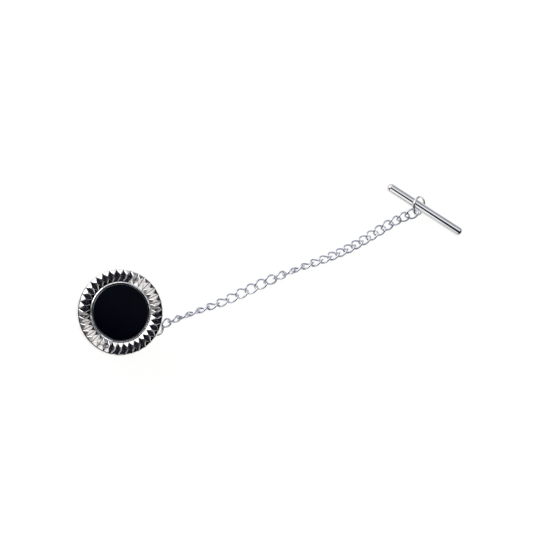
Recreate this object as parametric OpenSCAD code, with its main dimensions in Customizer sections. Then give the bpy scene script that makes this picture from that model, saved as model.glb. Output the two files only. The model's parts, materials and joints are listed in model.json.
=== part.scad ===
// Tie tack: a fluted round head with a black inlay, a spring clutch that holds its pin,
// and a curb chain from the clutch to a T-bar. It stands head up on the back of the clutch
// knob, with its origin under the pin, and the chain and the T-bar lie on the surface beside it.

/* [Head] */
// Outer diameter of the fluted head
head_d = 15; // [13.5:0.5:18]
// Height of the smooth side wall of the head
head_wall_h = 2.2; // [1.6:0.1:3]
// Height of the crowned ring above the side wall
crown_h = 0.8; // [0.6:0.05:1.1]
// Diameter of the black inlay
inlay_d = 10; // [9:0.1:10]
// Thickness of the black inlay
inlay_t = 0.95; // [0.8:0.05:1.2]
// Number of flutes round the head
flute_count = 36; // [24:1:44]

/* [Post] */
// Diameter of the pin behind the head
pin_d = 1.05; // [0.9:0.01:1.1]
// Length of the pin behind the head
pin_length = 6.3; // [6:0.1:6.4]
// Diameter of the pad that is brazed to the head
pad_d = 4.4; // [3:0.1:6]
// Thickness of the pad
pad_t = 0.4; // [0.3:0.05:0.6]

/* [Clutch] */
// Outer diameter of the clutch shell
shell_d = 10; // [9.6:0.1:11]
// Height of the clutch shell
shell_h = 4.2; // [4.2:0.1:5]
// Thickness of the sheet that the shell is drawn from
sheet_t = 0.3; // [0.25:0.05:0.35]
// Thickness of the front plate
plate_t = 0.4; // [0.3:0.05:0.6]
// Room for the cloth between the front plate and the pad
cloth_gap = 0.5; // [0.4:0.1:1.5]
// Diameter of the pull knob
knob_d = 6.4; // [5:0.1:8]
// Thickness of the pull knob
knob_t = 1; // [0.8:0.05:1]
// How far the knob pulls out
knob_travel = 0.8; // [0.5:0.05:0.8]
// Diameter of a lock ball
ball_d = 1.36; // [1.3:0.01:1.4]
// Half angle of the taper that the balls wedge in
taper_angle = 12; // [8:1:14]

/* [Chain] */
// Number of links
link_count = 29; // [29:1:30]
// Outside length of a link
link_length = 2.68; // [2.66:0.01:2.74]
// Outside width of a link
link_width = 2; // [1.9:0.05:2.1]
// Diameter of the link wire
link_wire = 0.36; // [0.32:0.01:0.38]
// Left-hand twist from the middle of a link to its end
link_twist = 45; // [40:1:50]
// Outside diameter of the jump ring at the clutch
jump_ring_d = 2.8; // [2.6:0.1:3.2]
// Wire diameter of the jump ring
jump_wire = 0.5; // [0.4:0.02:0.54]

/* [T-bar] */
// Length of the T-bar
bar_length = 16; // [12:0.5:20]
// Diameter of the T-bar
bar_d = 1.6; // [1.4:0.05:1.7]
// Outside diameter of the ring round the T-bar
bar_ring_d = 3.7; // [3.7:0.05:4]
// Wire diameter of the ring round the T-bar
bar_ring_wire = 0.45; // [0.4:0.01:0.46]

/* [Hidden] */
$fn = 96;

chrome = [0.80, 0.81, 0.83];
brass = [0.78, 0.66, 0.38];
black = [0.01, 0.01, 0.02];
tiny = 0.02;                                    // play between pieces fixed to each other
slack = 0.12;                                   // play between an end link and its ring

// Heights of the clutch, from the surface up
knob_play = 0.3;
shell_z = knob_t + knob_play;
shell_top = shell_z + shell_h;
plate_top = shell_top + plate_t;
head_z = plate_top + cloth_gap + pad_t;         // the flat back of the head

// Head
head_r = head_d / 2;
plate_back_t = 0.5;
web_z = 0.8;                                    // underside of the web below the inlay
web_top = 1.3;
seat_r = inlay_d / 2 + 0.06;                    // recess that the inlay sits in
rim_r = seat_r + 0.24;                          // polished rim round the inlay
back_recess_r = head_r - 0.9;

// The crown is a roof of two cones, from the rim to the top of the side wall
crown_mid_r = (head_r + rim_r) / 2;
rim_lip = 0.1;                                  // the rim rises to its inner edge by this
flute_lift = 0.05;                              // flute floors above the foot of the crown
flute_depth = 1.35;                             // depth of the ninety-degree cutter

// Pin, cage and balls
pin_r = pin_d / 2;
bore_r = pin_r + 0.095;
ball_r = ball_d / 2;
ball_orbit = pin_r + ball_r + tiny;
ball_z = shell_top - 1.1;
ball_hole_r = ball_r + 0.03;
taper_at_ball = ball_orbit + (ball_r + 0.03) / cos(taper_angle);
taper_z = shell_top - 1.9;
cage_r = 1.5;
neck_r = 1.3;
flange_r = 2.75;
flange_z = shell_z + 1.75;
flange_t = 0.35;
knob_floor = 0.35;
spring_wire = 0.2;
spring_r = 1.65;
spring_turns = 3.25;
spring_z = shell_z + sheet_t;

// Ear and jump ring: the ear stands out from the shell where the chain leaves
ear_heading = -18;
ear_reach = 6.8;                                // from the pin to the middle of the ear's hole
ear_z = shell_z + 1.2;
ear_r = 0.95;
ear_hole_r = 0.45;
ear_t = 0.5;
ear_out = [cos(ear_heading), sin(ear_heading), 0];
ear_side = [-sin(ear_heading), cos(ear_heading), 0];
jump_r = (jump_ring_d - jump_wire) / 2;
jump_droop = 14;
jump_out = cos(jump_droop) * ear_out - [0, 0, sin(jump_droop)];
jump_up = cross(jump_out, ear_side);
jump_centre = ear_out * ear_reach + [0, 0, ear_z] + jump_out * jump_r;
jump_hook = 50;                                 // where the first link hangs, round the ring

// Links: how the chain lies, by link number
link_a = (link_length - link_wire) / 2;
link_b = (link_width - link_wire) / 2;
link_inside = link_length / 2 - link_wire;      // from the middle to the inside of an end
headings = [[1, 22], [2, 20], [6, 19], [8, 25], [11, 24], [14, 21], [17, 19], [20, 24],
            [23, 31], [26, 31], [27, 27], [29, 18]];
pitches = [[1, 1.9], [10, 1.89], [12, 1.83], [16, 1.81], [18, 1.68], [20, 1.57], [23, 1.6],
           [29, 1.63]];
rolls = [[1, 45], [2, 70], [3, 86], [4, 95], [5, 104], [6, 116], [7, 131], [8, 147], [9, 161], [10, 174],
         [11, 188], [12, 208], [13, 234], [14, 260], [15, 279], [17, 304], [19, 315], [22, 322],
         [24, 340], [25, 357], [26, 376], [27, 394], [28, 387], [29, 376]];
heights = [[0, 2.05], [1, 1.75], [2, 1.42], [3, 1.15], [5, 1], [8, 0.76], [10, 0.6], [11, 0.68],
           [12, 0.9], [13, 1.04], [15, 1.04], [18, 0.95], [22, 0.85], [24, 0.68], [25, 0.66],
           [27, 0.98], [28, 1.32], [29, 1.85]];

function heading(k) = lookup(k, headings);
function pitch(k) = lookup(k, pitches);
function climb(k) = asin((lookup(k, heights) - lookup(k - 1, heights)) / pitch(k));
function along(k) = [cos(climb(k)) * cos(heading(k)), cos(climb(k)) * sin(heading(k)), sin(climb(k))];
function across(k) = [-sin(heading(k)), cos(heading(k)), 0];

// The wire of the jump ring where the first link hangs, and the joints between the links
jump_hook_dir = cos(jump_hook) * jump_out + sin(jump_hook) * ear_side;
jump_hook_at = jump_centre + jump_r * jump_hook_dir;
chain_start = jump_hook_at + along(1) * (link_inside - jump_wire / 2 - slack - pitch(1) / 2);
meets = [for (k = 0, p = chain_start; k <= link_count; k = k + 1, p = p + pitch(k) * along(k)) p];
function link_middle(k) = (meets[k - 1] + meets[k]) / 2;

// A point on the middle line of link k, t degrees round it from its far end
function link_point(k, t) =
    let (x = link_a * cos(t), w = link_b * sin(t))
    let (turn = lookup(k, rolls) - link_twist * cos(t))
    let (up = cross(along(k), across(k)))
    link_middle(k) + x * along(k) + w * (cos(turn) * across(k) + sin(turn) * up);

// T-bar: the ring leans on the bar as far as it goes and is brazed at the bar's middle
bar_r = bar_d / 2;
bar_heading = -31.6;
bar_drop = 3;                                   // the far end rests on the surface
bar_dome = 0.65;
bar_neck = 0.04;                                // depth of the neck at the middle
bar_neck_half = 0.4;
bar_along = [cos(bar_drop) * cos(bar_heading), cos(bar_drop) * sin(bar_heading), -sin(bar_drop)];
bar_level = [-sin(bar_heading), cos(bar_heading), 0];
bar_top = cross(bar_along, bar_level);
bar_ring_r = (bar_ring_d - bar_ring_wire) / 2;
ring_turn = 12;                                 // of the lean, round the bar
ring_lean = acos((bar_r + bar_ring_wire / 2 + tiny / 2) / bar_ring_r);
lean_dir = cos(ring_turn) * bar_top + sin(ring_turn) * bar_level;
ring_side = cos(ring_turn) * bar_level - sin(ring_turn) * bar_top;
ring_high = cos(ring_lean) * lean_dir - sin(ring_lean) * bar_along;
ring_axis = cos(ring_lean) * bar_along + sin(ring_lean) * lean_dir;
ring_hook = 3;
hook_dir = sin(ring_hook) * ring_high - cos(ring_hook) * ring_side;
hook_at = link_middle(link_count)
    + along(link_count) * (link_inside - bar_ring_wire / 2 - slack);
ring_centre = hook_at - bar_ring_r * hook_dir;
bar_middle = ring_centre + bar_ring_r * sin(ring_lean) * bar_along;
braze_at = ring_centre - bar_ring_r * ring_high;
braze_r = 0.3;

// Puts local X, Y and Z on three directions at a place
module frame(at, x, y, z) {
    multmatrix([
        [x[0], y[0], z[0], at[0]],
        [x[1], y[1], z[1], at[1]],
        [x[2], y[2], z[2], at[2]],
        [0, 0, 0, 1]
    ]) children();
}

// A round bar bent into a full circle
module wire_ring(r, wire) {
    rotate_extrude() translate([r, 0]) circle(d = wire, $fn = 32);
}

// The faces of a closed tube that follows rings of points
function loop_faces(rings, sides) = [
    for (i = [0:rings - 1]) for (j = [0:sides - 1]) each
        let (n = (i + 1) % rings, m = (j + 1) % sides)
        [[i * sides + j, i * sides + m, n * sides + m], [i * sides + j, n * sides + m, n * sides + j]]
];

// ---------------------------------------------------------------- head

module bezel_body() {
    edge = 0.15;
    ridge = 0.05;
    lip_edge = 0.04;
    lip_top = head_wall_h + rim_lip;
    rotate_extrude($fn = 144) polygon([
        [back_recess_r, 0], [head_r - edge, 0], [head_r, edge],
        [head_r, head_wall_h], [crown_mid_r + ridge, head_wall_h + crown_h],
        [crown_mid_r - ridge, head_wall_h + crown_h], [rim_r, head_wall_h],
        [seat_r + lip_edge, lip_top], [seat_r, lip_top - lip_edge],
        [seat_r, web_top], [0, web_top], [0, web_z],
        [back_recess_r - 0.4, web_z], [back_recess_r - 0.4, plate_back_t],
        [back_recess_r, plate_back_t]
    ]);
}

// One radial cut of a ninety-degree cutter, pointed down along local X, that stops short of the rim
module flute_cut() {
    start = rim_r + 0.02;
    run = head_r + 1.1 - start;
    translate([start, 0, head_wall_h + flute_lift]) rotate([90, 0, 90])
        linear_extrude(run) polygon([[0, 0], [flute_depth, flute_depth], [-flute_depth, flute_depth]]);
}

module bezel() {
    color(chrome) translate([0, 0, head_z]) difference() {
        bezel_body();
        for (i = [0:flute_count - 1]) rotate([0, 0, (i + 0.5) * 360 / flute_count]) flute_cut();
    }
}

module inlay() {
    bevel = 0.2;
    r = inlay_d / 2;
    color(black) translate([0, 0, head_z + web_top]) rotate_extrude($fn = 144)
        polygon([[0, 0], [r, 0], [r, inlay_t - bevel * 0.7], [r - bevel, inlay_t], [0, inlay_t]]);
}

module back_plate() {
    color(chrome) translate([0, 0, head_z])
        cylinder(r = back_recess_r - tiny, h = plate_back_t, $fn = 144);
}

// Pad, pin, locking groove and point, turned in one piece
module post() {
    groove_z = 1.55;
    groove = 0.09;
    point_l = 1.1;
    blunt = 0.05;
    shoulder = 0.2;
    color(brass) translate([0, 0, head_z]) rotate_extrude() polygon([
        [0, 0], [pad_d / 2, 0], [pad_d / 2, -pad_t], [pin_r + shoulder, -pad_t],
        [pin_r, -pad_t - shoulder],
        [pin_r, -pin_length + groove_z + groove], [pin_r - groove, -pin_length + groove_z],
        [pin_r, -pin_length + groove_z - groove], [pin_r, -pin_length + point_l],
        [blunt, -pin_length], [0, -pin_length]
    ]);
}

// ---------------------------------------------------------------- clutch

// Flat plate with its edge turned down over the shell
module front_plate() {
    lip_r = shell_d / 2 + 0.35;
    lip_h = 0.6;
    round_r = 0.2;
    color(chrome) rotate_extrude() polygon([
        [bore_r, shell_top], [shell_d / 2 + tiny, shell_top], [shell_d / 2 + tiny, shell_top - lip_h],
        [lip_r, shell_top - lip_h], [lip_r, plate_top - round_r], [lip_r - round_r, plate_top],
        [bore_r, plate_top]
    ]);
}

// Drawn cup, open to the front plate, with a hole in its back for the neck of the cage
module clutch_shell() {
    r = shell_d / 2;
    corner = 0.6;
    inner = corner - sheet_t;
    neck_hole = neck_r + 0.08;
    outside = [for (i = [0:6]) [r - corner + corner * sin(i * 15), corner - corner * cos(i * 15)]];
    inside = [for (i = [6:-1:0]) [r - corner + inner * sin(i * 15), corner - inner * cos(i * 15)]];
    color(chrome) translate([0, 0, shell_z]) rotate_extrude() polygon(concat(
        [[neck_hole, 0]], outside, [[r, shell_h], [r - sheet_t, shell_h]], inside,
        [[neck_hole, sheet_t]]
    ));
}

// Ring with the tapered bore that wedges the balls on the pin
module taper_seat() {
    r = shell_d / 2 - sheet_t - tiny;
    low_r = 3.4;
    step_z = shell_top - 0.9;
    slope = tan(taper_angle);
    color(brass) rotate_extrude() polygon([
        [taper_at_ball + (ball_z - shell_top) * slope, shell_top], [r, shell_top], [r, step_z],
        [low_r, step_z], [low_r, taper_z], [taper_at_ball + (ball_z - taper_z) * slope, taper_z]
    ]);
}

// Eyelet on a foot that is shaped to the shell
module ear() {
    foot_h = 1;
    color(chrome) difference() {
        frame([0, 0, ear_z], ear_out, ear_side, [0, 0, 1]) union() {
            translate([ear_reach, ear_t / 2, 0]) rotate([90, 0, 0]) cylinder(r = ear_r, h = ear_t);
            translate([shell_d / 2 - 0.5, -ear_t / 2, -foot_h / 2])
                cube([ear_reach - shell_d / 2, ear_t, foot_h]);
        }
        frame([0, 0, ear_z], ear_out, ear_side, [0, 0, 1])
            translate([ear_reach, ear_t, 0]) rotate([90, 0, 0]) cylinder(r = ear_hole_r, h = 2 * ear_t);
        cylinder(r = shell_d / 2 + tiny / 2, h = plate_top);
    }
}

// Tube round the pin with three ball holes, a flange for the spring and a neck for the knob
module ball_cage() {
    top = shell_top - 0.2;
    color(brass) difference() {
        rotate_extrude() polygon([
            [bore_r, knob_floor], [neck_r, knob_floor], [neck_r, flange_z], [flange_r, flange_z],
            [flange_r, flange_z + flange_t], [cage_r, flange_z + flange_t], [cage_r, top],
            [bore_r, top]
        ]);
        for (i = [0:2]) rotate([0, 0, 30 + 120 * i]) translate([0, 0, ball_z]) rotate([0, 90, 0])
            cylinder(r = ball_hole_r, h = flange_r, $fn = 48);
    }
}

module pull_knob() {
    r = knob_d / 2;
    edge = 0.3;
    color(chrome) rotate_extrude() polygon(concat(
        [[0, 0], [r - edge, 0]],
        [for (i = [1:5]) [r - edge + edge * sin(i * 15), edge - edge * cos(i * 15)]],
        [[r, edge], [r, knob_t - edge]],
        [for (i = [1:5]) [r - edge + edge * cos(i * 15), knob_t - edge + edge * sin(i * 15)]],
        [[r - edge, knob_t], [neck_r + tiny, knob_t], [neck_r + tiny, knob_floor], [0, knob_floor]]
    ));
}

// Coil spring between the back of the shell and the flange of the cage
module clutch_spring() {
    sides = 8;
    steps = 20;
    last = floor(spring_turns * steps);
    low = spring_z + spring_wire / 2 + tiny;
    rise = flange_z - spring_z - spring_wire - 2 * tiny;
    points = [for (i = [0:last]) for (j = [0:sides - 1])
        let (a = i * 360 / steps, b = j * 360 / sides, r = spring_r + spring_wire / 2 * cos(b))
        [r * cos(a), r * sin(a), low + rise * i / last + spring_wire / 2 * sin(b)]];
    body = [for (i = [0:last - 1]) for (j = [0:sides - 1]) each
        let (m = (j + 1) % sides, p = i * sides, n = (i + 1) * sides)
        [[p + j, p + m, n + m], [p + j, n + m, n + j]]];
    ends = [[for (j = [sides - 1:-1:0]) j], [for (j = [0:sides - 1]) last * sides + j]];
    color(chrome) polyhedron(points, concat(body, ends));
}

module lock_ball(i) {
    color(chrome) rotate([0, 0, 30 + 120 * (i - 1)]) translate([ball_orbit, 0, ball_z])
        sphere(r = ball_r, $fn = 48);
}

module jump_ring() {
    color(chrome) frame(jump_centre, jump_out, ear_side, jump_up) wire_ring(jump_r, jump_wire);
}

// ---------------------------------------------------------------- chain

// One closed curb link, swept round its twisted oval
module link(k) {
    sides = 8;
    rings = 22;
    wire_r = link_wire / 2;
    step = 360 / rings;
    points = [for (i = [0:rings - 1])
        let (p = link_point(k, i * step))
        let (ahead = link_point(k, (i + 0.5) * step) - link_point(k, (i - 0.5) * step))
        let (t = ahead / norm(ahead), out = p - link_middle(k))
        let (side = out - (out * t) * t, n = side / norm(side), b = cross(t, n))
        for (j = [0:sides - 1]) p + wire_r * (cos(j * 45) * n + sin(j * 45) * b)];
    color(chrome) polyhedron(points, loop_faces(rings, sides));
}

// ---------------------------------------------------------------- T-bar

module bar_ring() {
    color(chrome) frame(ring_centre, ring_high, ring_side, ring_axis)
        wire_ring(bar_ring_r, bar_ring_wire);
}

// Round rod with domed ends and a shallow neck where the ring is brazed, along local Z
module bar_body() {
    half = bar_length / 2;
    shank = half - bar_dome;
    rotate_extrude() polygon(concat(
        [for (i = [0:8]) [bar_r * sin(i * 90 / 8), -shank - bar_dome * cos(i * 90 / 8)]],
        [[bar_r, -bar_neck_half], [bar_r - bar_neck, 0], [bar_r, bar_neck_half]],
        [for (i = [8:-1:0]) [bar_r * sin(i * 90 / 8), shank + bar_dome * cos(i * 90 / 8)]]
    ));
}

module t_bar() {
    color(chrome) frame(bar_middle, bar_top, -bar_level, bar_along) bar_body();
}

// Bead of braze that joins the ring to the underside of the bar
module bar_braze() {
    room = bar_ring_wire + tiny;
    color(chrome) difference() {
        translate(braze_at) sphere(r = braze_r, $fn = 48);
        frame(ring_centre, ring_high, ring_side, ring_axis) wire_ring(bar_ring_r, room);
        frame(bar_middle, bar_top, -bar_level, bar_along)
            cylinder(r = bar_r + tiny / 2, h = 2, center = true);
    }
}

bezel();
inlay();
back_plate();
post();
front_plate();
clutch_shell();
taper_seat();
ear();
ball_cage();
pull_knob();
clutch_spring();
lock_ball(1);  // lock_ball_1
lock_ball(2);  // lock_ball_2
lock_ball(3);  // lock_ball_3
jump_ring();
bar_ring();
bar_braze();
t_bar();
link(1);  // link_01
link(2);  // link_02
link(3);  // link_03
link(4);  // link_04
link(5);  // link_05
link(6);  // link_06
link(7);  // link_07
link(8);  // link_08
link(9);  // link_09
link(10);  // link_10
link(11);  // link_11
link(12);  // link_12
link(13);  // link_13
link(14);  // link_14
link(15);  // link_15
link(16);  // link_16
link(17);  // link_17
link(18);  // link_18
link(19);  // link_19
link(20);  // link_20
link(21);  // link_21
link(22);  // link_22
link(23);  // link_23
link(24);  // link_24
link(25);  // link_25
link(26);  // link_26
link(27);  // link_27
link(28);  // link_28
link(29);  // link_29
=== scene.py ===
"""Tie tack: fluted chrome head with a black inlay, its ball-lock clutch, a curb chain and a T-bar.

Lengths are millimetres, but for the floor, the light and the camera's clipping, which are metres. The
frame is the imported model's: the origin is under the pin and +Z points to the face of the head.
"""

import json
import math

import bmesh
import bpy
import numpy as np
from mathutils import Matrix, Vector


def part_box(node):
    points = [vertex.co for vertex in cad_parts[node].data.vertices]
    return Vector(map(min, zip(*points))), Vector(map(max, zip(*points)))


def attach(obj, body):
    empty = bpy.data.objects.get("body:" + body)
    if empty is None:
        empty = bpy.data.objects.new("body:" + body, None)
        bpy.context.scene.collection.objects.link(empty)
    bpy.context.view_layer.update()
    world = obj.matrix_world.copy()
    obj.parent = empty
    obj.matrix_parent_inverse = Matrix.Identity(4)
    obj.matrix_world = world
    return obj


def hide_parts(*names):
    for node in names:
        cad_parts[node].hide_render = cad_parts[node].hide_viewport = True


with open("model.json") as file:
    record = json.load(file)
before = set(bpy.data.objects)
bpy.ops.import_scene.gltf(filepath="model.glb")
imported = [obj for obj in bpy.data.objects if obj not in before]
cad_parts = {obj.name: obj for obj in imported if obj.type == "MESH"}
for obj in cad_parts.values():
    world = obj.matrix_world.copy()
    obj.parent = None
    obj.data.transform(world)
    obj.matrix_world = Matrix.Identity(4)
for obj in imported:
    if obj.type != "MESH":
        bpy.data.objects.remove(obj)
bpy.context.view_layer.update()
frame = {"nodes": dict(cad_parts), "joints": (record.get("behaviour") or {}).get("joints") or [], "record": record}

MM = 0.001
TAU = 2 * math.pi
X, Y, Z = np.eye(3)


# ------------------------------------------------------------------ small vector helpers

def unit(v):
    """The vector with length 1."""
    v = np.asarray(v, float)
    return v / np.linalg.norm(v)


def node_points(node):
    """The distinct corners of a CAD node, in millimetres."""
    co = np.array([v.co for v in frame["nodes"][node].data.vertices], float) / MM
    return np.unique(np.round(co, 4), axis=0)


def node_middle(node):
    """The middle of a CAD node's box, in millimetres."""
    lo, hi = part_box(node)
    return np.array((lo + hi) / 2) / MM


def main_axes(points):
    """Middle of the points, and right-handed axes from the longest spread to the shortest."""
    middle = points.mean(0)
    _, axes = np.linalg.eigh(np.cov((points - middle).T))
    a, b = axes[:, 2], axes[:, 1]
    return middle, a, b, np.cross(a, b)


# ------------------------------------------------------------------ sizes, as in the CAD model

HEAD_Z, HEAD_R = 6.8, 7.5
WALL_H, CROWN_H = 2.2, 0.8
SEAT_R, RIM_R = 5.06, 5.3
WEB_Z, WEB_TOP = 0.8, 1.3
BACK_RECESS_R, BACK_LEDGE, BACK_T = 6.6, 0.4, 0.5
INLAY_R, INLAY_T = 5.0, 0.95
FLUTES = 36
FLUTE_Z = WALL_H + 0.05                      # the floor of a flute
CROWN_MID = (HEAD_R + RIM_R) / 2

PAD_R, PAD_T = 2.2, 0.4
PIN_R, PIN_L = 0.525, 6.3
GROOVE, GROOVE_Z = 0.09, 1.55                # depth, and place above the pin's point
POINT_L, BLUNT, SHOULDER = 1.1, 0.05, 0.2

KNOB_T, KNOB_R, KNOB_FLOOR = 1.0, 3.2, 0.35
SHELL_Z, SHELL_H, SHELL_R, SHEET = 1.3, 4.2, 5.0, 0.3
SHELL_TOP = SHELL_Z + SHELL_H
PLATE_T, LIP_R, LIP_H = 0.4, 5.35, 0.6
NECK_R, NECK_PLAY, BORE_R, TINY = 1.3, 0.08, 0.62, 0.02
EAR_R, EAR_HOLE_R, EAR_HALF_T, EAR_FOOT = 0.95, 0.45, 0.25, 0.5
EAR_ARC = 2.55                               # radians of the ear's round outline, either way

LINK_A, LINK_B, LINK_WIRE = 1.16, 0.82, 0.36
LINK_TWIST = math.radians(45)
JUMP_R, JUMP_WIRE = 1.15, 0.5
BAR_RING_R, BAR_RING_WIRE = 1.625, 0.45
BAR_DOME = 0.65


# ------------------------------------------------------------------ finer than the CAD model, inside its box

ROUND = 0.03                                 # radius of an edge that has none of its own
RIM_LIP = 0.13                               # a little higher than the CAD model's
CROWN_STEP = 0.045                           # between rows of points along the crown
FACE_R = HEAD_R - 0.006                      # the round wall stays inside the flats of the CAD model's
CREST_SOFT, EDGE_SOFT = 0.03, 0.03
EDGE_W = 0.17                                # a steep narrow bevel round the crown
EDGE_SLOPE = math.radians(47)
EDGE_Z = WALL_H + CROWN_H * EDGE_W / (HEAD_R - CROWN_MID)
EDGE_FOOT = EDGE_Z - EDGE_W * math.tan(EDGE_SLOPE)
FACE_EDGE, STEP_EDGE = 0.18, 0.06            # width of the inlay's bevel, and of its steeper outer step
FACE_DROP, STEP_DROP = 0.09, 0.3             # how far each of them falls from the inlay's face
BAR_R, BAR_HALF = 0.797, 7.997
BEAD_R = 0.29
EAR_EDGE, EAR_GAP = 0.07, 0.012              # its bevel, and its foot's gap from the cup
SEAM_GAP, SEAM_ROUND = 0.02, 0.02            # of the rings' butt seams


# ------------------------------------------------------------------ materials

class Nodes:
    """Builds one material's node tree round its Principled shader."""

    def __init__(self, name):
        self.material = bpy.data.materials.new(name)
        self.material.use_nodes = True
        self.tree = self.material.node_tree
        self.shader = self.tree.nodes["Principled BSDF"]
        self.place = self.add("ShaderNodeTexCoord").outputs["Object"]

    @classmethod
    def of(cls, material):
        """A builder for a material that already has its nodes."""
        n = cls.__new__(cls)
        n.material, n.tree = material, material.node_tree
        n.shader = n.tree.nodes["Principled BSDF"]
        n.place = next(node for node in n.tree.nodes if node.type == "TEX_COORD").outputs["Object"]
        return n

    def add(self, kind, **settings):
        node = self.tree.nodes.new(kind)
        for key, value in settings.items():
            setattr(node, key, value)
        return node

    def link(self, a, b):
        self.tree.links.new(a, b)

    def stretched(self, scale):
        """Object coordinates stretched by a scale on each axis."""
        mapping = self.add("ShaderNodeMapping")
        mapping.inputs["Scale"].default_value = scale
        self.link(self.place, mapping.inputs["Vector"])
        return mapping.outputs["Vector"]

    def noise(self, scale, detail, rough, vector=None):
        """Noise of about so many cells a metre."""
        node = self.add("ShaderNodeTexNoise")
        node.inputs["Scale"].default_value = scale
        node.inputs["Detail"].default_value = detail
        node.inputs["Roughness"].default_value = rough
        self.link(vector or self.place, node.inputs["Vector"])
        return node.outputs["Fac"]

    def spread(self, value, low, high, start=0.3, end=0.7):
        """Maps a factor from start..end to low..high."""
        node = self.add("ShaderNodeMapRange", interpolation_type="SMOOTHSTEP")
        for socket, number in (("From Min", start), ("From Max", end), ("To Min", low), ("To Max", high)):
            node.inputs[socket].default_value = number
        self.link(value, node.inputs["Value"])
        return node.outputs["Result"]

    def ramp(self, value, stops):
        node = self.add("ShaderNodeValToRGB")
        elements = node.color_ramp.elements
        while len(elements) < len(stops):
            elements.new(0.5)
        for element, (at, colour) in zip(elements, stops):
            element.position = at
            element.color = (*colour, 1)
        self.link(value, node.inputs["Fac"])
        return node.outputs["Color"]

    def set(self, **values):
        for key, value in values.items():
            self.shader.inputs[key.replace("_", " ")].default_value = value

    def bump(self, height, depth, strength=1.0, before=None):
        node = self.add("ShaderNodeBump")
        node.inputs["Strength"].default_value = strength
        node.inputs["Distance"].default_value = depth
        self.link(height, node.inputs["Height"])
        if before:
            self.link(before, node.inputs["Normal"])
        return node.outputs["Normal"]


def metal(name, tones, rough, hairline, ripple, stretch=(1, 1, 1), ripple_scale=260):
    """Polished or plated metal: cloudy tone, uneven polish, fine hairlines and a slight ripple."""
    n = Nodes(name)
    n.set(Metallic=1.0)
    cloud = n.noise(420, 4, 0.6)
    tone = n.ramp(cloud, [(0.3, tones[0]), (0.55, tones[1]), (0.75, tones[2])])
    n.link(tone, n.shader.inputs["Base Color"])
    smears = n.noise(900, 5, 0.65, n.stretched((1.0, 2.6, 1.4)))
    n.link(n.spread(smears, *rough), n.shader.inputs["Roughness"])
    soft = n.bump(n.noise(ripple_scale, 2, 0.5), ripple * MM)
    lines = n.noise(5200, 2, 0.5, n.stretched(stretch))
    n.link(n.bump(lines, hairline * MM, 0.6, soft), n.shader.inputs["Normal"])
    return n.material


# dark colour for the flute floors: partly grime, partly painted shade of the recess
GRIME_AND_SHADE = (0.10, 0.09, 0.09)


def bezel_chrome():
    """Cast and plated chrome: wavy under its polish, with grime and painted shade in the floors of the flutes."""
    material = metal("bezel_chrome", [(0.73, 0.72, 0.72), (0.81, 0.795, 0.79), (0.87, 0.85, 0.835)],
                     (0.04, 0.10), 0.001, 0.022, ripple_scale=1300)
    n = Nodes.of(material)
    turn = n.add("ShaderNodeTexGradient", gradient_type="RADIAL")
    n.link(n.place, turn.inputs["Vector"])
    count = n.add("ShaderNodeMath", operation="MULTIPLY")
    count.inputs[1].default_value = FLUTES
    n.link(turn.outputs["Fac"], count.inputs[0])
    swing = n.add("ShaderNodeMath", operation="PINGPONG")
    swing.inputs[1].default_value = 0.5
    n.link(count.outputs["Value"], swing.inputs[0])
    # swing is 0.5 on the flute's floor and 0 on the crest; height keeps the dark off the crown and wall
    line = n.spread(swing.outputs["Value"], 0.0, 1.0, 0.42, 0.49)
    apart = n.add("ShaderNodeSeparateXYZ")
    n.link(n.place, apart.inputs["Vector"])
    floor_z = HEAD_Z + FLUTE_Z
    low = n.spread(apart.outputs["Z"], 1.0, 0.0, (floor_z + 0.10) * MM, (floor_z + 0.16) * MM)
    high = n.spread(apart.outputs["Z"], 0.0, 1.0, (floor_z - 0.04) * MM, (floor_z - 0.02) * MM)
    both = n.add("ShaderNodeMath", operation="MULTIPLY")
    n.link(low, both.inputs[0])
    n.link(high, both.inputs[1])
    dark = n.add("ShaderNodeMath", operation="MULTIPLY")
    n.link(line, dark.inputs[0])
    n.link(both.outputs["Value"], dark.inputs[1])
    base = n.shader.inputs["Base Color"]
    # painted shade: this dark colour in the flute floors stands partly for grime and partly for the shade of the
    # recess
    mix = n.add("ShaderNodeMixRGB")
    mix.inputs["Color2"].default_value = (*GRIME_AND_SHADE, 1)
    n.link(dark.outputs["Value"], mix.inputs["Fac"])
    n.link(base.links[0].from_socket, mix.inputs["Color1"])
    n.link(mix.outputs["Color"], base)
    return material


CHROME = metal("chrome_plate", [(0.64, 0.64, 0.66), (0.71, 0.705, 0.71), (0.77, 0.755, 0.74)],
               (0.03, 0.085), 0.0006, 0.004, (1, 7, 1))
CHAIN_CHROME = metal("chain_chrome", [(0.56, 0.575, 0.65), (0.66, 0.675, 0.73), (0.74, 0.745, 0.78)],
                     (0.03, 0.08), 0.0008, 0.004)
BRASS = metal("turned_brass", [(0.66, 0.49, 0.24), (0.78, 0.60, 0.32), (0.84, 0.69, 0.42)],
              (0.12, 0.24), 0.0012, 0.003, (1, 1, 9))
STEEL = metal("spring_steel", [(0.42, 0.43, 0.46), (0.54, 0.55, 0.58), (0.62, 0.62, 0.64)],
              (0.14, 0.26), 0.001, 0.003)


def black_stone(name, specular, ior, rough):
    """Near black with a trace of blue, faint cloud and faint polishing lines."""
    n = Nodes(name)
    n.set(Specular_IOR_Level=specular, IOR=ior, Specular_Tint=(0.78, 0.86, 1.0, 1.0))
    cloud = n.noise(900, 4, 0.6)
    tone = n.ramp(cloud, [(0.35, (0.0001, 0.0004, 0.0026)), (0.7, (0.0003, 0.0010, 0.0052))])
    n.link(tone, n.shader.inputs["Base Color"])
    smears = n.noise(700, 5, 0.6, n.stretched((2.2, 1, 1)))
    n.link(n.spread(smears, *rough), n.shader.inputs["Roughness"])
    lines = n.noise(3000, 2, 0.5, n.stretched((1, 8, 1)))
    n.link(n.bump(lines, 0.0004 * MM, 0.5), n.shader.inputs["Normal"])
    return n.material


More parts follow.
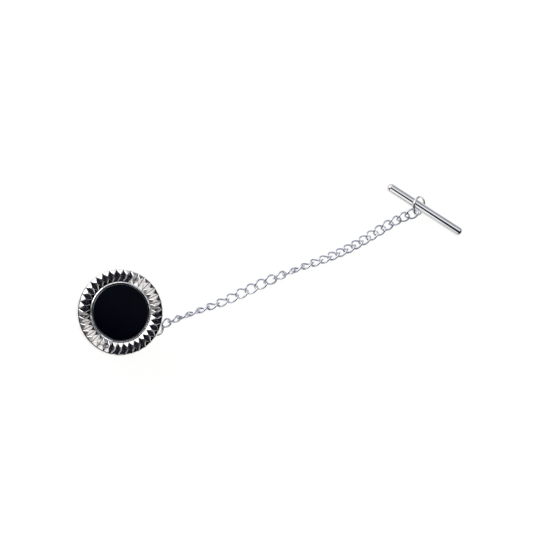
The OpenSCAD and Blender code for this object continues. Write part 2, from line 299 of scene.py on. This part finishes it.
HONED_BLACK = black_stone("black_inlay", 0.035, 1.5, (0.08, 0.16))
POLISHED_BLACK = black_stone("black_inlay_bevel", 0.8, 1.8, (0.05, 0.11))


# ------------------------------------------------------------------ mesh makers

def make(name, points, faces, material, body, nodes, smooth_below=32.0):
    """A mesh piece from points in millimetres, that rides on a body and stands for CAD nodes."""
    mesh = bpy.data.meshes.new(name)
    mesh.from_pydata((np.asarray(points, float) * MM).tolist(), [], faces)
    bm = bmesh.new()
    bm.from_mesh(mesh)
    bmesh.ops.remove_doubles(bm, verts=bm.verts, dist=2e-7)
    bmesh.ops.dissolve_degenerate(bm, edges=bm.edges, dist=1e-8)
    bmesh.ops.recalc_face_normals(bm, faces=bm.faces)
    limit = math.radians(smooth_below)
    for face in bm.faces:
        face.smooth = True
    for edge in bm.edges:
        edge.smooth = len(edge.link_faces) == 2 and edge.calc_face_angle() < limit
    bm.to_mesh(mesh)
    bm.free()
    piece = bpy.data.objects.new(name, mesh)
    bpy.context.scene.collection.objects.link(piece)
    mesh.materials.append(material)
    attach(piece, body)
    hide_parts(*nodes)
    return piece


def filleted(outline, radius, steps=4, closed=True):
    """An outline with its corners rounded: each corner is (r, z) or (r, z, its own radius)."""
    out = []
    count = len(outline)
    for i, corner in enumerate(outline):
        p = np.array(corner[:2], float)
        own = corner[2] if len(corner) > 2 else radius
        if own <= 0 or (not closed and i in (0, count - 1)):
            out.append(tuple(p))
            continue
        before = np.array(outline[i - 1][:2], float) - p
        after = np.array(outline[(i + 1) % count][:2], float) - p
        la, lb = np.linalg.norm(before), np.linalg.norm(after)
        before, after = before / la, after / lb
        half = math.acos(max(-1.0, min(1.0, float(before @ after)))) / 2
        if half > math.radians(85):
            out.append(tuple(p))
            continue
        cut = min(own / math.tan(half), 0.45 * la, 0.45 * lb)
        own = cut * math.tan(half)
        centre = p + unit(before + after) * own / math.sin(half)
        a, b = p + before * cut - centre, p + after * cut - centre
        turn = math.atan2(a[0] * b[1] - a[1] * b[0], float(a @ b))
        for s in range(steps + 1):
            t = turn * s / steps
            out.append((centre[0] + a[0] * math.cos(t) - a[1] * math.sin(t),
                        centre[1] + a[0] * math.sin(t) + a[1] * math.cos(t)))
    return out


def ring_faces(rows, columns, close_rows):
    """Quads between rows of points, each row a closed round of columns."""
    faces = []
    for i in range(rows if close_rows else rows - 1):
        for j in range(columns):
            n, m = (i + 1) % rows, (j + 1) % columns
            faces.append((i * columns + j, i * columns + m, n * columns + m, n * columns + j))
    return faces


def lathe(name, outline, material, body, nodes, segments=160, at=(0, 0, 0), x=X, y=Y, z=Z):
    """Turns a closed outline of (r, z) corners round local z."""
    profile = filleted(outline, ROUND)
    turns = np.arange(segments) * TAU / segments
    points = [np.asarray(at) + r * (np.cos(t) * x + np.sin(t) * y) + h * z for r, h in profile for t in turns]
    return make(name, points, ring_faces(len(profile), segments, True), material, body, nodes)


def tube(name, line, wire_r, material, body, nodes, sides, middle, closed=True, round_end=0.0):
    """Round wire along a line of points that bends round a middle point."""
    line = np.asarray(line, float)
    if closed:
        ahead = np.roll(line, -1, 0) - np.roll(line, 1, 0)
    else:
        ahead = np.gradient(line, axis=0)
    rings = []
    for p, t in zip(line, ahead):
        t = unit(t)
        out = p - middle
        n = unit(out - (out @ t) * t)
        rings.append((p, t, n, np.cross(t, n), wire_r))
    if not closed:
        # each cut end is drawn in over a few short rings, so that its edge is rounded
        first, last = rings[0], rings[-1]
        for (p, t, n, b, r), sign in ((first, -1), (last, 1)):
            extra = []
            for k in range(1, 5):
                a = k * math.pi / 8
                extra.append((p + sign * t * round_end * math.sin(a), t, n, b,
                              r - round_end * (1 - math.cos(a))))
            rings = extra[::-1] + rings if sign < 0 else rings + extra
    turns = np.arange(sides) * TAU / sides
    points = [p + r * (np.cos(a) * n + np.sin(a) * b) for p, t, n, b, r in rings for a in turns]
    faces = ring_faces(len(rings), sides, closed)
    if not closed:
        last = (len(rings) - 1) * sides
        faces += [tuple(range(sides - 1, -1, -1)), tuple(range(last, last + sides))]
    make(name, points, faces, material, body, nodes, 50.0)


def soft_min(a, b, k):
    """The lower of two heights, with the edge between them rounded over k."""
    h = np.maximum(k - np.abs(a - b), 0) / k
    return np.minimum(a, b) - h * h * k / 4


# ------------------------------------------------------------------ head

def bezel():
    """Head: the crown with its 36 radial V cuts, the wall, and the recesses for inlay and back."""
    # places across half a flute, from its floor to the crest, closer together at the crest
    half = np.array([0, 0.1, 0.2, 0.3, 0.4, 0.5, 0.6, 0.7, 0.8, 0.88, 0.93, 0.945, 0.97, 1])
    across = np.concatenate([-half[:0:-1], half])
    step = TAU / FLUTES
    turns = np.array([(i + 0.5) * step + u * step / 2 for i in range(FLUTES) for u in across[:-1]])
    offset = np.tile(across[:-1] * step / 2, FLUTES)
    roof = filleted([(RIM_R, WALL_H, 0), (CROWN_MID, WALL_H + CROWN_H, 0.12), (FACE_R - EDGE_W, EDGE_Z, 0.1),
                     (FACE_R, EDGE_FOOT, 0.04), (FACE_R, 0, 0)], 0, 6, closed=False)[:-1]
    crown = []
    for a, b in zip(roof, roof[1:]):
        steps = max(1, round(math.dist(a, b) / CROWN_STEP))
        crown += [(a[0] + (b[0] - a[0]) * k / steps, a[1] + (b[1] - a[1]) * k / steps) for k in range(steps)]
    crown.append(roof[-1])
    rows = []
    for r, z in crown:
        side = np.abs(r * np.sin(offset))
        crest = CREST_SOFT / 2.5 * np.maximum(0, 1 - (step / 2 - np.abs(offset)) * r / CREST_SOFT) ** 2
        rows.append((r, soft_min(np.full_like(side, z), FLUTE_Z + side - crest, EDGE_SOFT)))
    # from the outer end of the crown, down the wall, round the back and up through the seat
    rest = filleted([(FACE_R, EDGE_FOOT, 0), (FACE_R, 0.0, 0.15), (BACK_RECESS_R, 0.0, 0.05),
                     (BACK_RECESS_R, BACK_T), (BACK_RECESS_R - BACK_LEDGE, BACK_T),
                     (BACK_RECESS_R - BACK_LEDGE, WEB_Z), (0.0, WEB_Z, 0), (0.0, WEB_TOP, 0),
                     (SEAT_R, WEB_TOP), (SEAT_R, WALL_H + RIM_LIP, 0.06), (RIM_R, WALL_H, 0)],
                    ROUND, closed=False)
    rows += [(r, np.full(len(turns), z)) for r, z in rest[1:-1]]
    points = [(r * math.cos(t), r * math.sin(t), HEAD_Z + z) for r, zs in rows for t, z in zip(turns, zs)]
    faces = ring_faces(len(rows), len(turns), True)
    make("head_bezel", points, faces, bezel_chrome(), "head", ["bezel"], 40.0)


def inlay():
    """Stone with a honed face, whose bevel has two steps, the inner one polished."""
    top, face_r, step_r = WEB_TOP + INLAY_T, INLAY_R - FACE_EDGE, INLAY_R - STEP_EDGE
    piece = lathe("head_inlay", [(0, WEB_TOP, 0), (INLAY_R, WEB_TOP), (INLAY_R, top - STEP_DROP, 0.02),
                                 (step_r, top - FACE_DROP, 0.01), (face_r, top, 0.02), (0, top, 0)],
                  HONED_BLACK, "head", ["inlay"], 240, at=(0, 0, HEAD_Z))
    piece.data.materials.append(POLISHED_BLACK)
    for polygon in piece.data.polygons:
        reach = max(math.hypot(*piece.data.vertices[v].co[:2]) for v in polygon.vertices)
        polygon.material_index = int(face_r + TINY / 2 < reach / MM < step_r + TINY)


bezel()
inlay()
lathe("head_back", [(0, 0, 0), (BACK_RECESS_R - TINY, 0, 0.06), (BACK_RECESS_R - TINY, BACK_T),
                    (0, BACK_T, 0)],
      CHROME, "head", ["back_plate"], 200, at=(0, 0, HEAD_Z))

lathe("tack_pin", [(0, 0, 0), (PAD_R, 0), (PAD_R, -PAD_T, 0.06), (PIN_R + SHOULDER, -PAD_T, 0.02),
                   (PIN_R, -PAD_T - SHOULDER, 0.1), (PIN_R, GROOVE_Z + GROOVE - PIN_L, 0.02),
                   (PIN_R - GROOVE, GROOVE_Z - PIN_L, 0.02), (PIN_R, GROOVE_Z - GROOVE - PIN_L, 0.02),
                   (PIN_R, POINT_L - PIN_L, 0.15), (BLUNT, -PIN_L, 0.03), (0, -PIN_L, 0)],
      BRASS, "head", ["post"], 64, at=(0, 0, HEAD_Z))


# ------------------------------------------------------------------ clutch

lathe("clutch_front_plate", [(BORE_R, SHELL_TOP), (SHELL_R + TINY, SHELL_TOP),
                             (SHELL_R + TINY, SHELL_TOP - LIP_H), (LIP_R, SHELL_TOP - LIP_H, 0.08),
                             (LIP_R, SHELL_TOP + PLATE_T, 0.22), (BORE_R, SHELL_TOP + PLATE_T, 0.12)],
      CHROME, "clutch", ["front_plate"])
lathe("clutch_cup", [(NECK_R + NECK_PLAY, SHELL_Z, 0.06), (SHELL_R, SHELL_Z, 0.6), (SHELL_R, SHELL_TOP),
                     (SHELL_R - SHEET, SHELL_TOP), (SHELL_R - SHEET, SHELL_Z + SHEET, 0.3),
                     (NECK_R + NECK_PLAY, SHELL_Z + SHEET, 0.06)],
      CHROME, "clutch", ["clutch_shell"])
lathe("clutch_knob", [(0, 0, 0), (KNOB_R, 0, 0.3), (KNOB_R, KNOB_T, 0.3), (NECK_R + TINY, KNOB_T, 0.03),
                      (NECK_R + TINY, KNOB_FLOOR), (0, KNOB_FLOOR, 0)],
      CHROME, "plunger", ["pull_knob"], 128)


def leaving(line, direction):
    """Where a ray from the origin last crosses a closed line of points."""
    best = 0.0
    for a, b in zip(line, np.roll(line, -1, 0)):
        e = b - a
        det = direction[0] * -e[1] + e[0] * direction[1]
        if abs(det) < 1e-12:
            continue
        s = (a[0] * -e[1] + e[0] * a[1]) / det
        u = (direction[0] * a[1] - direction[1] * a[0]) / det
        if -1e-9 <= u <= 1 + 1e-9:
            best = max(best, s)
    return direction * best


def ear():
    """Eyelet whose flat stands on edge, with its foot shaped to the cup."""
    hole_at = np.array(jump_axis["pos_m"]) / MM
    side = unit(jump_axis["axis"])
    out = unit([hole_at[0], hole_at[1], 0])
    foot_at = SHELL_R + EAR_GAP - math.hypot(hole_at[0], hole_at[1])
    # the outline in the eyelet's flat, round the hole's middle: an arc and then the square foot
    arc = [(EAR_R * math.cos(t), EAR_R * math.sin(t), 0) for t in np.linspace(-EAR_ARC, EAR_ARC, 40)]
    line = np.array(filleted(arc + [(foot_at, EAR_FOOT, 0.01), (foot_at, -EAR_FOOT, 0.01)], 0.01))
    # points round the outline and round the hole, joined by their angle
    count = 72
    ways = [np.array([math.cos(t), math.sin(t)]) for t in np.arange(count) * TAU / count]
    outer = [leaving(line, way) for way in ways]
    inner = [way * EAR_HOLE_R for way in ways]
    sections = [(EAR_EDGE * k, EAR_HALF_T - EAR_EDGE * m) for k, m in ((0, 1), (0.3, 0.3), (1, 0))]
    rows = []
    for turned, sign in ((sections, 1), (sections[::-1], -1)):
        outside = [[(p * (1 - inset / np.linalg.norm(p)), sign * h) for p in outer] for inset, h in turned]
        inside = [[(p * (1 + inset / EAR_HOLE_R), sign * h) for p in inner] for inset, h in turned[::-1]]
        rows += outside + inside if sign > 0 else inside + outside
    points = [hole_at + p[0] * out + p[1] * Z + h * side for row in rows for p, h in row]
    make("clutch_ear", points, ring_faces(len(rows), count, True), CHROME, "clutch", ["ear"], 35.0)


jump_axis = next(j for j in frame["joints"] if j["name"] == "jump_ring_swing")
ear()

BALLS = ["lock_ball_1", "lock_ball_2", "lock_ball_3"]
for material, names in ((BRASS, ["taper_seat", "ball_cage"]), (STEEL, ["clutch_spring"] + BALLS)):
    for name in names:
        carried = frame["nodes"][name].data
        carried.materials.clear()
        carried.materials.append(material)
        for polygon in carried.polygons:
            polygon.use_smooth = False


# ------------------------------------------------------------------ chain

def link(name):
    """A closed oval of wire whose two ends are twisted left-handed from its middle."""
    middle, along, wide, thin = main_axes(node_points(name))
    line = []
    for t in np.arange(72) * TAU / 72:
        turn = -LINK_TWIST * math.cos(t)
        line.append(middle + LINK_A * math.cos(t) * along
                    + LINK_B * math.sin(t) * (math.cos(turn) * wide + math.sin(turn) * thin))
    tube(f"chain_{name}", line, LINK_WIRE / 2, CHAIN_CHROME, name, [name], 14, middle)


for name in sorted(n for n in frame["nodes"] if n.startswith("link_")):
    link(name)


def split_ring(name, node, radius, wire, body, seam_towards):
    """A ring of round wire with the butt seam where it was closed."""
    middle, _, _, axis = main_axes(node_points(node))
    seam = unit(seam_towards - (seam_towards @ axis) * axis)
    across = np.cross(axis, seam)
    half_gap = (SEAM_GAP / 2 + SEAM_ROUND) / radius
    turns = np.linspace(half_gap, TAU - half_gap, 121)
    line = [middle + radius * (math.cos(t) * seam + math.sin(t) * across) for t in turns]
    tube(name, line, wire / 2, CHROME, body, [node], 24, middle, False, SEAM_ROUND)


split_ring("chain_jump_ring", "jump_ring", JUMP_R, JUMP_WIRE, "jump_ring", -unit(jump_axis["axis"]))


# ------------------------------------------------------------------ T-bar

def bar():
    """Round rod with domed ends."""
    shank = BAR_HALF - BAR_DOME
    dome = [(BAR_R * math.cos(t), shank + BAR_DOME * math.sin(t)) for t in np.arange(16) * math.pi / 32]
    outline = [(0, -BAR_HALF)] + [(r, -h) for r, h in dome[::-1]] + dome + [(0, BAR_HALF)]
    mount = next(m for m in frame["record"]["mounts"] if m["name"] == "bar_arm")
    along = unit(mount["axis"])
    level = unit(np.cross(along, Z))
    lathe("bar_rod", [(r, h, 0) for r, h in outline], CHROME, "t_bar", ["t_bar"], 96,
          at=node_middle("t_bar"), x=level, y=np.cross(along, level), z=along)


def braze():
    """Bead that fills the corner between the ring and the bar, sunk into both."""
    points = node_points("bar_braze")
    middle = (points.min(0) + points.max(0)) / 2
    rows, columns = 14, 24
    cloud = []
    for i in range(rows + 1):
        lat = math.pi * i / rows
        for j in range(columns):
            lon = TAU * j / columns
            cloud.append(middle + BEAD_R * np.array([math.sin(lat) * math.cos(lon),
                                                     math.sin(lat) * math.sin(lon), math.cos(lat)]))
    faces = ring_faces(rows + 1, columns, False)
    make("bar_braze_bead", cloud, faces, CHROME, "t_bar", ["bar_braze"], 60)


bar()
seam_way = node_middle("t_bar") - main_axes(node_points("bar_ring"))[0]
split_ring("bar_ring_wire", "bar_ring", BAR_RING_R, BAR_RING_WIRE, "t_bar", seam_way)
braze()


# ------------------------------------------------------------------ floor, light and camera

def floor():
    """Pale sheet that the tack lies on, bright as in a light tent."""
    n = Nodes("pale_floor")
    n.set(Roughness=0.8, Specular_IOR_Level=0.1, Emission_Strength=0.91)
    n.shader.inputs["Emission Color"].default_value = (1.0, 0.995, 0.99, 1)
    paper = n.ramp(n.noise(60, 4, 0.6), [(0.3, (0.20, 0.20, 0.20)), (0.7, (0.22, 0.22, 0.22))])
    n.link(paper, n.shader.inputs["Base Color"])
    half_m, below_m = 4.0, 0.00002
    corners = [(-half_m, -half_m, 0), (half_m, -half_m, 0), (half_m, half_m, 0), (-half_m, half_m, 0)]
    mesh = bpy.data.meshes.new("floor")
    mesh.from_pydata(corners, [], [(0, 1, 2, 3)])
    piece = bpy.data.objects.new("floor", mesh)
    bpy.context.scene.collection.objects.link(piece)
    piece.location = (0, 0, -below_m)
    mesh.materials.append(n.material)


floor()

# Camera: high over the head and a little to its left
CAMERA_C = np.array([-0.20642, -0.06508, 0.97630])      # from the object to the camera
CAMERA_R = np.array([0.97846, -0.01373, 0.20596])
CAMERA_U = np.cross(CAMERA_C, CAMERA_R)
CAMERA_AT = (-119.76, -38.22, 698.9)
SENSOR, FOCAL = 36.0, 272.26
camera = bpy.data.objects.new("camera", bpy.data.cameras.new("camera"))
camera.data.sensor_width, camera.data.lens = SENSOR, FOCAL
camera.data.clip_start, camera.data.clip_end = 0.02, 50
camera.matrix_world = Matrix([[CAMERA_R[i], CAMERA_U[i], CAMERA_C[i], CAMERA_AT[i] * MM] for i in range(3)]
                             + [[0, 0, 0, 1]])
bpy.context.scene.collection.objects.link(camera)
bpy.context.scene.camera = camera


UPPER_LEFT, LOWER_RIGHT = (-0.7071, 0.7071, 0.0), (0.7071, -0.7071, 0.0)

# Each patch is a direction, the cosines where it starts and ends, and the values outside and inside it
GAP_WIDER = [(LOWER_RIGHT, -0.1, 0.9, 1.0, 3.2), (UPPER_LEFT, 0.15, 0.6, 1.0, 2.6),
             (LOWER_RIGHT, 0.36, 0.65, 1.0, 1.8)]
DARK_PATCHES = [((0.80, -0.42, 0.42), 0.72, 0.90, 1.0, 0.05), ((0.95, 0.30, 0.1), 0.82, 0.97, 1.0, 0.15),
                ((-0.92, -0.34, 0.2), 0.80, 0.95, 1.0, 0.12), ((-0.57, -0.36, 0.74), 0.93, 0.975, 1.0, 0.10)]
LAMP_PATCH = ((-0.62, 0.66, 0.30), 0.72, 0.9, 0.0, 1.0)
BORDER = (0.13, 0.24, 0.08, 1.0)             # a low dark border all round, by height
BRIGHTNESS = 1.5

# The two panels and the gap between them, from the lower left (-1) to the upper right (1)
ACROSS = (0.703, 0.703, 0.105)
GAP = (0.013, 0.014, 0.022)
PANELS = [(-1.0, (0.40, 0.38, 0.36)), (-0.6, (0.72, 0.70, 0.68)), (-0.3, (0.86, 0.86, 0.86)),
          (-0.22, (0.80, 0.80, 0.82)), (-0.16, GAP), (0.14, GAP), (0.23, (0.84, 0.83, 0.83)),
          (0.36, (0.88, 0.88, 0.89)), (0.55, (0.48, 0.51, 0.55)), (0.8, (0.36, 0.39, 0.44)),
          (1.0, (0.30, 0.33, 0.38))]


def sky():
    """Light tent: two bright panels with a dark gap overhead, a lamp at the upper left and dark sides."""
    world = bpy.data.worlds.new("tent")
    bpy.context.scene.world = world
    world.use_nodes = True
    tree = world.node_tree
    join = tree.links.new
    way = tree.nodes.new("ShaderNodeTexCoord").outputs["Generated"]

    def along(direction):
        """How far the direction of view goes along another direction, from -1 to 1."""
        dot = tree.nodes.new("ShaderNodeVectorMath")
        dot.operation = "DOT_PRODUCT"
        dot.inputs[1].default_value = tuple(direction)
        join(way, dot.inputs[0])
        return dot.outputs["Value"]

    def soft_step(value, *numbers):
        """Eases from the third number to the fourth while the value goes from the first to the second."""
        step = tree.nodes.new("ShaderNodeMapRange")
        step.interpolation_type = "SMOOTHSTEP"
        for socket, number in zip(("From Min", "From Max", "To Min", "To Max"), numbers):
            step.inputs[socket].default_value = number
        join(value, step.inputs["Value"])
        return step.outputs["Result"]

    def patch(direction, *steps):
        return soft_step(along(unit(direction)), *steps)

    def math_node(operation, a, b):
        """A math node on two values, of which the second may be a number."""
        node = tree.nodes.new("ShaderNodeMath")
        node.operation = operation
        join(a, node.inputs[0])
        if isinstance(b, float):
            node.inputs[1].default_value = b
        else:
            join(b, node.inputs[1])
        return node.outputs["Value"]

    def product(values):
        result = values[0]
        for value in values[1:]:
            result = math_node("MULTIPLY", result, value)
        return result

    widening = product([patch(*wider) for wider in GAP_WIDER])
    place = tree.nodes.new("ShaderNodeMapRange")
    place.inputs["From Min"].default_value = -1
    join(math_node("DIVIDE", along(ACROSS), widening), place.inputs["Value"])
    panels = tree.nodes.new("ShaderNodeValToRGB")
    elements = panels.color_ramp.elements
    while len(elements) < len(PANELS):
        elements.new(0.5)
    for element, (at, colour) in zip(elements, PANELS):
        element.position = (at + 1) / 2
        element.color = (*colour, 1)
    join(place.outputs["Result"], panels.inputs["Fac"])

    lamp = tree.nodes.new("ShaderNodeMixRGB")
    lamp.inputs["Color2"].default_value = (1, 1, 1, 1)
    join(panels.outputs["Color"], lamp.inputs["Color1"])
    join(patch(*LAMP_PATCH), lamp.inputs["Fac"])

    height = tree.nodes.new("ShaderNodeSeparateXYZ")
    join(way, height.inputs["Vector"])
    light = product([patch(*dark) for dark in DARK_PATCHES] + [soft_step(height.outputs["Z"], *BORDER)])
    back = tree.nodes["Background"]
    join(lamp.outputs["Color"], back.inputs["Color"])
    join(math_node("MULTIPLY", light, BRIGHTNESS), back.inputs["Strength"])

    # the camera itself sees a plain pale backdrop
    plain = tree.nodes.new("ShaderNodeBackground")
    plain.inputs["Color"].default_value = (1, 1, 1, 1)
    choose = tree.nodes.new("ShaderNodeMixShader")
    join(tree.nodes.new("ShaderNodeLightPath").outputs["Is Camera Ray"], choose.inputs["Fac"])
    join(back.outputs["Background"], choose.inputs[1])
    join(plain.outputs["Background"], choose.inputs[2])
    join(choose.outputs["Shader"], tree.nodes["World Output"].inputs["Surface"])


sky()

# A softbox at the upper left, aimed at the middle of the chain
key = bpy.data.lights.new("softbox", "AREA")
key.energy, key.size = 1.6, 0.5
softbox = bpy.data.objects.new("softbox", key)
softbox.location = (-0.55, 0.55, 0.5)
aim = Vector((0.03, 0.01, 0)) - softbox.location
softbox.rotation_euler = aim.to_track_quat("-Z", "Y").to_euler()
bpy.context.scene.collection.objects.link(softbox)

bpy.context.scene.view_settings.view_transform = "Standard"
